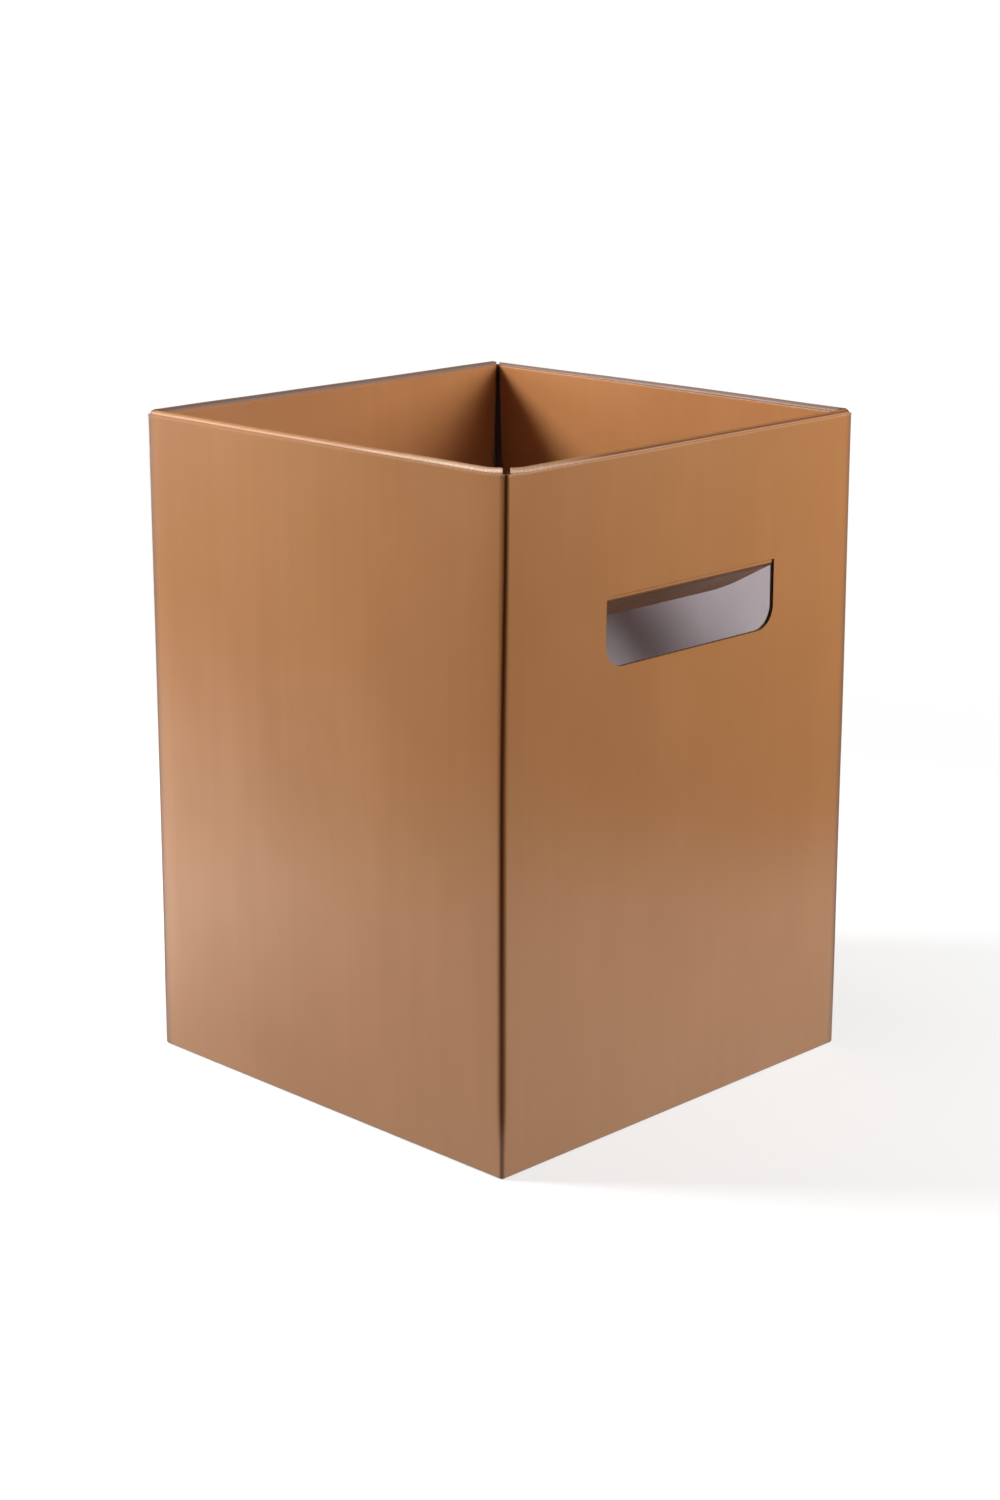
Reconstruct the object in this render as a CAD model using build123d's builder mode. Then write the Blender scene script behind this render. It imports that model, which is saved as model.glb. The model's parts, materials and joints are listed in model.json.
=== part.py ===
"""Bouquet box: an open-topped carton folded from one sheet of fluted board.

The four walls wrap round a snap-lock base. Each wall's top edge rolls over and is
glued down inside as a lining, and two opposite walls have a hand hole whose punched
flap is still hinged along the hole's top edge.

Millimetres. +Z is up, and the origin is the middle of the base, on the floor.
The front wall faces -Y. The hand holes are in the right (+X) and left (-X) walls.
"""
import os
from math import asin, atan2, cos, degrees, hypot, radians, sin, sqrt

from build123d import *

# Outside size of the folded carton
width = 180.0
depth = 180.0
height = 245.0

# Board and its creases
board = 1.6
wall_crease_radius = 1.4
base_crease_radius = 1.2

# Rolled rim and the lining below it
roll_crown_radius = 1.0
lining_depth = 47.4
lining_end_taper = 1.5
lining_corner_radius = 4.0
roll_end_gap = 1.7
score_radius = 0.45
score_depth = 0.22

# Hand hole, placed from the lining's cut edge and from the wall's middle
hole_width = 88.0
hole_height = 24.0
hole_corner_radius = 8.5
hole_drop = 2.5
hole_offset = 2.5

# Hand flap: the piece punched from the hole, pushed in about its fold line
flap_kerf = 0.3
fold_clearance = 0.3
flap_angle = 61.0

# Snap-lock base: two main flaps, two dust flaps on top of them and one tongue
base_seam = 0.6
base_side_gap = 3.0
base_corner_radius = 5.0
dust_tip_gap = 7.4
dust_flap_end_gap = 2.5
dust_flap_slant = 22.0
tongue_width = 66.0
tongue_length = 34.0
tongue_corner_radius = 8.0
tongue_slot_depth = 4.0
tongue_side_gap = 1.0

# Glue tab down one back corner
tab_width = 30.0
tab_slant = 8.0
tab_end_gap = 2.0

# Heights and faces that several features share
roll_side_radius = 2 * board
roll_rise = roll_crown_radius + sqrt((roll_side_radius - roll_crown_radius) ** 2 - board**2)
roll_peak = sqrt(roll_side_radius**2 - board**2)
roll_base = height - roll_rise
lining_foot = height - lining_depth
floor_top = 2 * board
fold_line = lining_foot - hole_drop
inner_width = width - 2 * board
inner_depth = depth - 2 * board
side_face = inner_width / 2
back_face = inner_depth / 2
base_edge = side_face - base_side_gap
seam_edge = base_seam / 2

# How far a hand flap turns from closed before it would touch the lining's cut edge
lining_lean = degrees(atan2(board, hole_drop) + asin(fold_clearance / hypot(board, hole_drop)))
flap_limit = 180 - lining_lean

UP = Vector(0, 0, 1)
FRONT, BACK = Vector(0, -1, 0), Vector(0, 1, 0)
RIGHT, LEFT = Vector(1, 0, 0), Vector(-1, 0, 0)


def wall_plane(outward, distance, lift=0.0, aside=0.0):
    """A plane on a wall: local x runs along the wall, local y is up, and the normal is outward."""
    along = UP.cross(outward)
    return Plane(outward * distance + UP * lift + along * aside, x_dir=along, z_dir=outward)


def section_plane(plane):
    """The plane across a wall plane at its origin: local x is outward and local y is up."""
    return Plane(plane.origin, x_dir=plane.z_dir, z_dir=-plane.x_dir)


def rolled_hem(outward, distance, wall_length):
    """One wall's rolled top edge and its lining, with the score line on the inside."""
    outer = wall_plane(outward, distance)
    lining_length = wall_length - 2 * (2 * board + roll_end_gap)
    with BuildPart() as hem:
        # The roll is an arch over the wall and the lining: each side bends about the other's foot
        with BuildSketch(section_plane(outer)):
            with BuildLine():
                RadiusArc((0, roll_base), (-board, roll_base + roll_peak), -roll_side_radius)
                RadiusArc((-board, roll_base + roll_peak), (-2 * board, roll_base), -roll_side_radius)
                Line((-2 * board, roll_base), (0, roll_base))
            make_face()
            fillet(vertices().sort_by(Axis.Y)[-1], roll_crown_radius)
        extrude(amount=wall_length / 2, both=True)
        # Its ends are cut back at half a right angle, clear of the rolls beside it
        with BuildSketch(Plane(outer.origin, x_dir=outer.x_dir, z_dir=UP)):
            with BuildLine():
                outer_end = wall_length / 2 - roll_end_gap
                inner_end = outer_end - 2 * board
                Polyline(
                    (-outer_end, 0), (outer_end, 0), (inner_end, 2 * board), (-inner_end, 2 * board), close=True
                )
            make_face()
        extrude(amount=height, mode=Mode.INTERSECT)
        # The lining hangs from the roll against the wall's inner face
        with BuildSketch(wall_plane(outward, distance - 2 * board)):
            with BuildLine():
                foot_half = lining_length / 2 - lining_end_taper
                Polyline(
                    (-lining_length / 2, roll_base),
                    (lining_length / 2, roll_base),
                    (foot_half, lining_foot),
                    (-foot_half, lining_foot),
                    close=True,
                )
            make_face()
            fillet(vertices().group_by(Axis.Y)[0], lining_corner_radius)
        extrude(amount=board)
        with BuildSketch(section_plane(outer)):
            with Locations((-2 * board - score_radius + score_depth, roll_base)):
                Circle(score_radius)
        extrude(amount=wall_length / 2, both=True, mode=Mode.SUBTRACT)
    return hem.part


def hand_hole_plane(outward):
    """The fold line of a side wall's hand flap, on the wall's inner face."""
    return wall_plane(outward, side_face, fold_line, hole_offset)


def flap_blank(plane, label):
    """The punched flap: a plate below its fold line and a round bead of board about that line."""
    along = plane.x_dir
    tilt = radians(flap_angle)
    facing = plane.z_dir * cos(tilt) - UP * sin(tilt)
    leaf = Plane(plane.origin, x_dir=along, z_dir=facing)
    with BuildPart() as flap:
        with BuildSketch(leaf):
            Rectangle(hole_width - 2 * flap_kerf, hole_height - flap_kerf, align=(Align.CENTER, Align.MAX))
            fillet(vertices().group_by(Axis.Y)[0], hole_corner_radius - flap_kerf)
        extrude(amount=board)
        with BuildSketch(section_plane(leaf)):
            with BuildLine():
                fold = CenterArc((0, 0), board, 0, flap_limit)
                Line(fold @ 1, (0, 0))
                Line((0, 0), fold @ 0)
            make_face()
        extrude(amount=hole_width / 2 - flap_kerf, both=True)
    flap.part.label = label
    return flap.part


# Each wall's outward direction, its outer face's distance from the middle, and its length
walls = (
    (FRONT, depth / 2, width),
    (BACK, depth / 2, width),
    (RIGHT, width / 2, depth),
    (LEFT, width / 2, depth),
)
hems = [rolled_hem(outward, distance, length) for outward, distance, length in walls]

with BuildPart() as carton:
    # Walls: one sheet wrapped round four upright creases
    with BuildSketch():
        RectangleRounded(width, depth, wall_crease_radius)
        Rectangle(inner_width, inner_depth, mode=Mode.SUBTRACT)
    extrude(amount=roll_base)
    fillet(carton.faces().sort_by(Axis.Z)[0].outer_wire().edges(), base_crease_radius)

    # Rolled rims and linings, scored outside where each roll starts
    add(hems)
    for outward, distance, length in walls:
        with BuildSketch(section_plane(wall_plane(outward, distance))):
            with Locations((score_radius - score_depth, roll_base)):
                Circle(score_radius)
        extrude(amount=length / 2, both=True, mode=Mode.SUBTRACT)

    # Main base flaps from the front and back walls, which meet along a seam
    with BuildSketch():
        for side in (-1, 1):
            reach = back_face - seam_edge
            with Locations((0, side * (seam_edge + reach / 2))):
                Rectangle(2 * base_edge, reach)
        fillet(vertices().filter_by_position(Axis.Y, -seam_edge, seam_edge), base_corner_radius)
        with Locations((0, seam_edge)):
            Rectangle(
                tongue_width + 2 * tongue_side_gap,
                tongue_slot_depth - seam_edge,
                align=(Align.CENTER, Align.MIN),
                mode=Mode.SUBTRACT,
            )
    extrude(amount=board)

    # Tongue of the front flap, which climbs through the back flap's slot and lies on it
    with BuildSketch(Plane.YZ):
        with BuildLine():
            Polyline(
                (-seam_edge, 0),
                (tongue_slot_depth, board),
                (tongue_slot_depth, floor_top),
                (-seam_edge, board),
                close=True,
            )
        make_face()
    extrude(amount=tongue_width / 2, both=True)
    with BuildSketch(Plane.XY.offset(board)):
        with Locations((0, tongue_slot_depth)):
            Rectangle(tongue_width, tongue_length - tongue_slot_depth, align=(Align.CENTER, Align.MIN))
        fillet(vertices().sort_by(Axis.Y)[-2:], tongue_corner_radius)
    extrude(amount=board)

    # Dust flaps from the side walls, which climb over the main flaps' edges
    dust_root = inner_depth - 2 * dust_flap_end_gap
    dust_tip = tongue_width / 2 + dust_tip_gap
    for side in (-1, 1):
        with BuildSketch(Plane.XZ):
            with BuildLine():
                Polyline(
                    (side * side_face, 0),
                    (side * base_edge, board),
                    (side * base_edge, floor_top),
                    (side * side_face, board),
                    close=True,
                )
            make_face()
        extrude(amount=dust_root / 2, both=True)
        with BuildSketch(Plane.XY.offset(board)):
            with BuildLine():
                Polyline(
                    (side * base_edge, -dust_root / 2),
                    (side * base_edge, dust_root / 2),
                    (side * dust_tip, dust_root / 2 - dust_flap_slant),
                    (side * dust_tip, -dust_root / 2 + dust_flap_slant),
                    close=True,
                )
            make_face()
        extrude(amount=board)

    # Glue tab of the left wall, on the inside of the back wall
    tab_foot = floor_top + tab_end_gap
    tab_top = lining_foot - tab_end_gap
    with BuildSketch(wall_plane(BACK, back_face - board)):
        with BuildLine():
            Polyline(
                (side_face, tab_foot),
                (side_face, tab_top),
                (side_face - tab_width, tab_top - tab_slant),
                (side_face - tab_width, tab_foot + tab_slant),
                close=True,
            )
        make_face()
    extrude(amount=board)

    # Hand holes, with a round relief above each fold line for the flap's bead
    for outward in (RIGHT, LEFT):
        fold = hand_hole_plane(outward)
        with BuildSketch(fold):
            Rectangle(hole_width, hole_height, align=(Align.CENTER, Align.MAX))
            fillet(vertices().group_by(Axis.Y)[0], hole_corner_radius)
        extrude(amount=board, mode=Mode.SUBTRACT)
        with BuildSketch(section_plane(fold)):
            Circle(board + fold_clearance)
        extrude(amount=hole_width / 2, both=True, mode=Mode.SUBTRACT)

carton.part.label = "carton"

hand_flap_right = flap_blank(hand_hole_plane(RIGHT), "hand_flap_right")
hand_flap_left = flap_blank(hand_hole_plane(LEFT), "hand_flap_left")

os.makedirs("parts", exist_ok=True)
export_step(carton.part, "parts/carton.step")
export_step(hand_flap_right, "parts/hand_flap_right.step")
export_step(hand_flap_left, "parts/hand_flap_left.step")
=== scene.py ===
"""Bouquet box: the looks of an open carton of copper-printed fluted board.

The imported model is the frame. The carton and its two hand flaps are shown by finer
copies of their own solids: sliced into a grid, eased a little out of true as folded
board is, and given a finish face by face: print outside and over the rolled rim, bare
liner inside, and fluted edges wherever the board was cut.
"""

import json
import math

import bmesh
import bpy
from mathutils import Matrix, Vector, noise


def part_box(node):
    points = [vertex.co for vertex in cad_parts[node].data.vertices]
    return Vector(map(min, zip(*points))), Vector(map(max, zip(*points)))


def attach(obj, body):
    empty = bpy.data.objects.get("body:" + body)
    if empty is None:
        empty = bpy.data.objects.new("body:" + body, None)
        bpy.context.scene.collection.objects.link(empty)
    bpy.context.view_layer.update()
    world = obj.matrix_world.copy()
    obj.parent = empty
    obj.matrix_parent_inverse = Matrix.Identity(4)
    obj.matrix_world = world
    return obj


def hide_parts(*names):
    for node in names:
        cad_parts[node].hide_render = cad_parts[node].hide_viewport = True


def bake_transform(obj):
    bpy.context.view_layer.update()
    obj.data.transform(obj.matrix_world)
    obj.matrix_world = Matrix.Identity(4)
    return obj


MM = 0.001
UP = Vector((0, 0, 1))

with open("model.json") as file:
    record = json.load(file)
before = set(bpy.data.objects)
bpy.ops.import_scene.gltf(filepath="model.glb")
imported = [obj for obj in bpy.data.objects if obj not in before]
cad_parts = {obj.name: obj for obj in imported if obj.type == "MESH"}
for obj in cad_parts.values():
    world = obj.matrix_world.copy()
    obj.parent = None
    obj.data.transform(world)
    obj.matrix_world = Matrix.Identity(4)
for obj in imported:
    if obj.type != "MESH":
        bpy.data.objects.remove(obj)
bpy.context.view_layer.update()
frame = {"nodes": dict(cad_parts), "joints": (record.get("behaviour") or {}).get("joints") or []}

# The carton's outside, read from the frame
high_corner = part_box("carton")[1]
HALF_WIDTH = high_corner.x
HALF_DEPTH = high_corner.y
HEIGHT = high_corner.z

# The board and what its folds leave
BOARD = 1.6 * MM
ROLL_RISE = 2.5 * MM
LINING_DEPTH = 47.4 * MM
HOLE_DROP = 2.5 * MM
FLUTE_PITCH = 3.3 * MM
ROLL_BASE = HEIGHT - ROLL_RISE
LINING_FOOT = HEIGHT - LINING_DEPTH
FOLD_LINE = LINING_FOOT - HOLE_DROP
FLOOR_TOP = 2 * BOARD

# A point less deep than HEM_DEPTH is in a wall or its lining, and one deeper than WALL_DEPTH is past
# the wall's own board
HEM_DEPTH = 2.5 * BOARD
WALL_DEPTH = 0.9 * BOARD

# Outward directions of the four walls
FRONT, BACK = Vector((0, -1, 0)), Vector((0, 1, 0))
RIGHT, LEFT = Vector((1, 0, 0)), Vector((-1, 0, 0))


def smooth_step(value, start, end):
    """0 before start, 1 after end, and an easy curve between."""
    share = min(1.0, max(0.0, (value - start) / (end - start)))
    return share * share * (3 - 2 * share)


def in_steps(value, stops):
    """A smooth curve through (place, amount) stops in rising order."""
    amount = stops[0][1]
    for (start, before), (end, after) in zip(stops, stops[1:]):
        if value > start:
            amount = before + (after - before) * smooth_step(value, start, end)
    return amount


# Camera

CAMERA_AZIMUTH = math.radians(-45.51)
CAMERA_ELEVATION = math.radians(15.81)
CAMERA_ROLL = math.radians(0.12)
CAMERA_DISTANCE = 1.0755
CAMERA_AIM = Vector((0.0001, 0.0001, 0.1167))
CAMERA_LENS = 69.22


def direction(azimuth, elevation):
    """The direction at a compass angle from +X and an angle above the floor."""
    level = math.cos(elevation)
    return Vector((level * math.cos(azimuth), level * math.sin(azimuth), math.sin(elevation)))


def aimed(place, target):
    """The turn that points an object's -Z axis from place to target."""
    return (target - place).to_track_quat("-Z", "Y").to_euler()


def add_camera():
    """The photograph's viewpoint: one corner towards the lens, seen from a little above."""
    data = bpy.data.cameras.new("camera")
    data.lens = CAMERA_LENS
    camera = bpy.data.objects.new("camera", data)
    camera.location = CAMERA_AIM + direction(CAMERA_AZIMUTH, CAMERA_ELEVATION) * CAMERA_DISTANCE
    camera.rotation_euler = aimed(camera.location, CAMERA_AIM)
    camera.rotation_euler.rotate_axis("Z", CAMERA_ROLL)
    bpy.context.scene.collection.objects.link(camera)
    bpy.context.scene.camera = camera


# Node helpers

class Nodes:
    """Adds and links shader nodes in one node tree."""

    def __init__(self, tree):
        self.tree = tree
        self.tree.nodes.clear()

    def feed(self, socket, value):
        """Link or set one input."""
        if isinstance(value, bpy.types.NodeSocket):
            self.tree.links.new(value, socket)
        else:
            socket.default_value = value

    def add(self, kind, inputs=None, **settings):
        """A node of one kind. Inputs are numbers, colours or the sockets to link from."""
        node = self.tree.nodes.new(kind)
        for name, value in settings.items():
            setattr(node, name, value)
        for name, value in (inputs or {}).items():
            self.feed(node.inputs[name], value)
        return node

    def math(self, operation, first, second=0.0):
        """The result of one sum on two numbers or sockets."""
        return self.add("ShaderNodeMath", {0: first, 1: second}, operation=operation).outputs[0]

    def times(self, *values):
        """The product of numbers or sockets."""
        product, *others = values
        for value in others:
            product = self.math("MULTIPLY", product, value)
        return product

    def most(self, first, second):
        """The greater of two numbers or sockets."""
        return self.math("MAXIMUM", first, second)

    def size(self, value):
        """A value without its sign."""
        return self.math("ABSOLUTE", value)

    def off(self, value, middle):
        """How far a value lies to either side of a middle."""
        return self.size(self.math("SUBTRACT", value, middle))

    def parts(self, vector):
        """The outputs X, Y and Z of a vector."""
        return self.add("ShaderNodeSeparateXYZ", {"Vector": vector}).outputs

    def length(self, x, y):
        """The length of a flat vector."""
        flat = self.add("ShaderNodeCombineXYZ", {"X": x, "Y": y}).outputs["Vector"]
        return self.add("ShaderNodeVectorMath", {0: flat}, operation="LENGTH").outputs["Value"]

    def remap(self, value, low, high, to_low=0.0, to_high=1.0):
        """value taken from one range to another, held at the ends, on an easy curve."""
        node = self.add(
            "ShaderNodeMapRange",
            {"Value": value, "From Min": low, "From Max": high, "To Min": to_low, "To Max": to_high},
            interpolation_type="SMOOTHSTEP",
        )
        return node.outputs["Result"]

    def noise(self, vector, scale, detail=2.0, roughness=0.5):
        """A noise value about 0.5."""
        inputs = {"Vector": vector, "Scale": scale, "Detail": detail, "Roughness": roughness}
        return self.add("ShaderNodeTexNoise", inputs).outputs["Fac"]

    def stretched(self, vector, scale):
        """The vector scaled along each axis."""
        return self.add("ShaderNodeMapping", {"Vector": vector, "Scale": scale}).outputs["Vector"]

    def blend(self, share, first, second):
        """A colour between two."""
        node = self.add("ShaderNodeMix", data_type="RGBA")
        for socket, value in zip((node.inputs[0], node.inputs[6], node.inputs[7]), (share, first, second)):
            self.feed(socket, value)
        return node.outputs[2]

    def bump(self, height, distance, strength=1.0, normal=None):
        """A normal raised by height, which is in shares of distance."""
        inputs = {"Height": height, "Distance": distance, "Strength": strength}
        if normal is not None:
            inputs["Normal"] = normal
        return self.add("ShaderNodeBump", inputs).outputs["Normal"]

    def glow(self, strength):
        """White light given off."""
        return self.add("ShaderNodeEmission", {"Strength": strength}).outputs["Emission"]

    def matt(self, tone):
        """A matt grey surface."""
        return self.add("ShaderNodeBsdfDiffuse", {"Color": (tone, tone, tone, 1)}).outputs["BSDF"]

    def mixed(self, share, first, second):
        """A surface between two."""
        return self.add("ShaderNodeMixShader", {"Fac": share, 1: first, 2: second}).outputs["Shader"]

    def added(self, first, second):
        """Two surfaces' light together."""
        return self.add("ShaderNodeAddShader", {0: first, 1: second}).outputs["Shader"]


def new_material(name):
    """An empty node material and its nodes."""
    material = bpy.data.materials.new(name)
    material.use_nodes = True
    return material, Nodes(material.node_tree)


def object_place(nodes):
    """Where a point lies in its object's own coordinates."""
    return nodes.add("ShaderNodeTexCoord").outputs["Object"]


def board_map(nodes):
    """Where a point lies in the board: along it in flutes, and across it from 0 to 1."""
    return nodes.add("ShaderNodeUVMap", uv_map="board").outputs["UV"]


def rise_map(nodes):
    """How high a point stood above the floor before the carton was eased out of true."""
    return nodes.add("ShaderNodeUVMap", uv_map="rise").outputs["UV"]


def off_edges(nodes, axes):
    """How far a point lies in from the side walls, and from the front and back walls."""
    off_side = nodes.math("SUBTRACT", HALF_WIDTH, nodes.size(axes["X"]))
    off_front = nodes.math("SUBTRACT", HALF_DEPTH, nodes.size(axes["Y"]))
    return off_side, off_front


def colour(red, green, blue):
    """An sRGB colour, 0 to 255, as the linear values that a shader takes."""
    def linear(value):
        value = value / 255
        return value / 12.92 if value <= 0.04045 else ((value + 0.055) / 1.055) ** 2.4
    return (linear(red), linear(green), linear(blue), 1.0)


# The middle of a noise's range, which its masks are cut from
NOISE_BAND = (0.3, 0.7)

# The board's flutes as they show through a liner: how finely they vary along X, Y and Z
FLUTE_FINENESS = (330, 330, 5)


# The print's ink and coat

COPPER_DEEP = colour(195, 133, 81)
COPPER_PALE = colour(203, 141, 88)
COPPER_STREAK = colour(189, 127, 78)

# How finely the ink's clouds and upright streaks vary along X, Y and Z, and how much the streaks show
CLOUD_FINENESS = (14, 14, 9)
STREAK_FINENESS = (190, 190, 5)
STREAK_BAND = (0.3, 0.75)
STREAK_SHARE = 0.22

# The print's relief: how finely its waves and grain vary, and how deep waves, flutes and grain are
WAVE_FINENESS = (30, 30, 16)
GRAIN_FINENESS = 2600
WAVE_DEPTH = 0.35 * MM
PRINT_FLUTE_DEPTH = 0.024 * MM
GRAIN_DEPTH = 0.004 * MM

# The print's sheen: how finely it varies, and how rough the ink is
SHEEN_FINENESS = 60
PRINT_ROUGHNESS = (0.38, 0.46)

# The clear coat on the flat, over the rim's bend and on a hand flap, and the heights where the bend starts
COAT_WEIGHT, COAT_ROUGHNESS = 0.8, 0.22
BENT_COAT_WEIGHT, BENT_COAT_ROUGHNESS = 0.22, 0.5
FLAP_COAT_WEIGHT, FLAP_COAT_ROUGHNESS = 0.1, 0.5
COAT_BEND = (ROLL_BASE - 1.2 * MM, ROLL_BASE - 0.1 * MM)

# How deep in an upright crease the coat thins, and how much of it is left there
CREASE_COAT_FADE = (0.2, 0.8)
CREASE_COAT_SHARE = 0.15


# Painted shade in the upright creases

# The painted shade along each crease, a dark line: how far it reaches, how dark it is, and how it starts
# above the floor
PAINTED_SHADE_BROWN = colour(66, 26, 6)
CREASE_LINE = 2.1 * MM
CREASE_LINE_SOLID = 0.3 * CREASE_LINE
CREASE_DARKNESS = 0.5
CREASE_START = (4 * MM, 34 * MM)
CREASE_START_SHARE = 0.15

# On the front and back walls a distance from a crease counts for this share, so the painted shade reaches
# further
CREASE_ALONG_FRONT = 0.8

# The brown core of the near crease's painted shade
CREASE_SHADE_CORE = colour(152, 76, 26)
CREASE_CORE_REACH = (0.42 * MM, 0.75 * MM)
CREASE_CORE_SHARE = 0.6

# The painted shade at the other creases, which is greyer, and where the near corner's kind of shade gives
# way to theirs
SIDE_CREASE_SHADE = colour(112, 96, 90)
SIDE_CREASE_REACH = 4 * MM
SIDE_CREASE_DARKNESS = 0.65
NEAR_CORNER = (20 * MM, 40 * MM)


# Painted highlight, reflection and shade at the rim, with cracking in its coat

# The pale of the coat's cracking, of the painted glints along the score and of the painted highlight on the
# roll
CRACK_AND_HIGHLIGHT_PALE = colour(238, 204, 176)

# Where the rim's painted marks and cracking start in height, and where they pass on to the right wall, on
# to the back wall and off the front wall
RIM_START = (ROLL_BASE - 0.1 * MM, ROLL_BASE + 0.3 * MM)
ONTO_RIGHT = (HALF_WIDTH - 4 * MM, HALF_WIDTH - 3 * MM)
ONTO_BACK = (HALF_DEPTH - 10 * MM, HALF_DEPTH - 5 * MM)
OFF_FRONT = (10 * MM - HALF_DEPTH, 30 * MM - HALF_DEPTH)

# The pale cracking and painted glints along the outside score: how far from it they reach, and how much
# they show
SCORE_CRACKS_AND_GLINTS = (0.1 * MM, 0.5 * MM)
SCORE_CRACK_AND_GLINT_SHARE = 0.4

# The specks that the cracking and glints are made of
SPECK_FINENESS = 900
SPECK_BAND = (0.46, 0.6)
SPECK_CONTRAST = 0.4

# Patches of cracking and glints anywhere along the rim
PATCH_FINENESS = 38
PATCH_BAND = (0.45, 0.62)
PATCH_SHARE = 0.3

# How far round the box the cracking and glints fade from the near corner, and on the back wall from the
# right one
NEAR_CRACKS_AND_GLINTS = (25 * MM, 100 * MM)
RIGHT_CRACKS_AND_GLINTS = (20 * MM, 60 * MM)

# The painted highlight over the roll: its heights from the score to the crown, and how it fades from the
# near corner
ROLL_HIGHLIGHT_START = (ROLL_BASE - 0.1 * MM, ROLL_BASE + 0.4 * MM)
ROLL_HIGHLIGHT_END = (ROLL_BASE + 1.9 * MM, HEIGHT)
CROWN_HIGHLIGHT_SHARE = 0.3
ROLL_HIGHLIGHT_SHARE = 0.75
ROLL_HIGHLIGHT_REACH = (15 * MM, 90 * MM)

# Along the right wall a distance from the near corner counts for this much more
RIGHT_WALL_EXTRA = 0.7

# The painted grey reflection on the crown and on the rim's inner side. Reaches are in board thicknesses off
# the crown.
CROWN_REFLECTION_GREY = colour(148, 128, 120)
CROWN_SHARE = 0.75
CROWN_REACH = (0.25, 0.6)
INNER_SHARE = 0.85
INNER_REACH = (0.1, 0.4)

# The painted grey on the front wall's crown gets stronger from left to right, and a grey crown fades
# towards the near corner
FRONT_CROWN = (-20 * MM, 70 * MM)
FRONT_CROWN_SHARE = 0.1
CROWN_FROM_NEAR = (30 * MM, 130 * MM)
NEAR_CROWN_SHARE = 0.35

# The painted shade along the right rim, a brown line: its height above the score, its reach to either side,
# how dark it and the painted shade on the roll beside it are, and how it starts from the near corner
RIGHT_ROLL_SHADE = colour(112, 66, 40)
RIGHT_LINE_RISE = 1.5 * MM
RIGHT_LINE_REACH = (0.25 * MM, 0.65 * MM)
RIGHT_LINE_SHARE = 0.8
RIGHT_ROLL_SHARE = 0.15
RIGHT_LINE_START = (35 * MM, 95 * MM)

# A hand flap's painted shade: how dark it is in a line just below the fold, and over the leaf below that
# line.
# The depths are where the line starts and where it gives way to the leaf.
FOLD_LINE_DARKNESS = 0.75
LEAF_DARKNESS = 0.2
FOLD_LINE_START = 0.5 * MM
LEAF_START = (2.4 * MM, 1.2 * MM)


def from_right_corner(nodes, axes, ahead):
    """How far round the box a point lies from a right corner: the near one (-1) or the back one (1)."""
    towards = nodes.math("ADD", axes["X"], nodes.times(axes["Y"], ahead))
    return nodes.math("SUBTRACT", HALF_WIDTH + HALF_DEPTH, towards)


def crease_shade(nodes, axes, from_near, ink):
    """Painted shade in the upright creases: brown at the near corner, greyer at the others.

    It comes with how deep in a crease a point lies, from 0 to 1.
    """
    off_side, off_front = off_edges(nodes, axes)
    off_crease = nodes.most(nodes.times(off_side, CREASE_ALONG_FRONT), off_front)
    in_crease = nodes.times(
        nodes.remap(off_crease, CREASE_LINE_SOLID, CREASE_LINE, 1.0, 0.0),
        nodes.remap(axes["Z"], *CREASE_START, CREASE_START_SHARE, 1.0),
    )
    at_others = nodes.remap(from_near, *NEAR_CORNER)
    at_near = nodes.remap(from_near, *NEAR_CORNER, 1.0, 0.0)
    side_crease_shade = nodes.remap(off_crease, 0.0, SIDE_CREASE_REACH, SIDE_CREASE_DARKNESS, 0.0)
    # Painted shade: a dark line in each crease, and a greyer shade beside the creases away from the near
    # corner
    crease_shade_share = nodes.most(nodes.times(in_crease, CREASE_DARKNESS), nodes.times(side_crease_shade, at_others))
    creased = nodes.blend(crease_shade_share, ink, nodes.blend(at_others, PAINTED_SHADE_BROWN, SIDE_CREASE_SHADE))
    in_core = nodes.remap(off_crease, *CREASE_CORE_REACH, CREASE_CORE_SHARE, 0.0)
    return nodes.blend(nodes.times(in_core, at_near), creased, CREASE_SHADE_CORE), in_crease


def cracked_and_highlit_rim(nodes, place, axes, height, rim_from_near, ink):
    """Pale cracking and painted glints along the score, most at the near and right corner, and a painted
    highlight on the roll.
    """
    # Pale cracking with painted glints along the score
    near_score = nodes.remap(nodes.off(height, ROLL_BASE), *SCORE_CRACKS_AND_GLINTS, 1.0, 0.0)
    specks = nodes.remap(nodes.noise(place, SPECK_FINENESS, 2, 0.7), *SPECK_BAND)
    patches = nodes.remap(nodes.noise(place, PATCH_FINENESS, 1), *PATCH_BAND, 0.0, PATCH_SHARE)
    at_near = nodes.remap(rim_from_near, *NEAR_CRACKS_AND_GLINTS, 1.0, 0.0)
    at_right = nodes.remap(from_right_corner(nodes, axes, 1), *RIGHT_CRACKS_AND_GLINTS, 1.0, 0.0)
    on_back = nodes.remap(axes["Y"], *ONTO_BACK)
    reach = nodes.most(patches, nodes.most(at_near, nodes.times(at_right, on_back)))
    score_glints_and_cracks = nodes.times(near_score, specks, reach, SCORE_CRACK_AND_GLINT_SHARE)
    # Painted highlight over the roll, fading from the near corner
    roll_highlight = nodes.times(
        nodes.remap(height, *ROLL_HIGHLIGHT_START),
        nodes.remap(height, *ROLL_HIGHLIGHT_END, 1.0, CROWN_HIGHLIGHT_SHARE),
        nodes.remap(rim_from_near, *ROLL_HIGHLIGHT_REACH, ROLL_HIGHLIGHT_SHARE, 0.0),
        nodes.math("ADD", nodes.times(specks, SPECK_CONTRAST), 1.0 - SPECK_CONTRAST),
    )
    return nodes.blend(nodes.most(score_glints_and_cracks, roll_highlight), ink, CRACK_AND_HIGHLIGHT_PALE)


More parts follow.
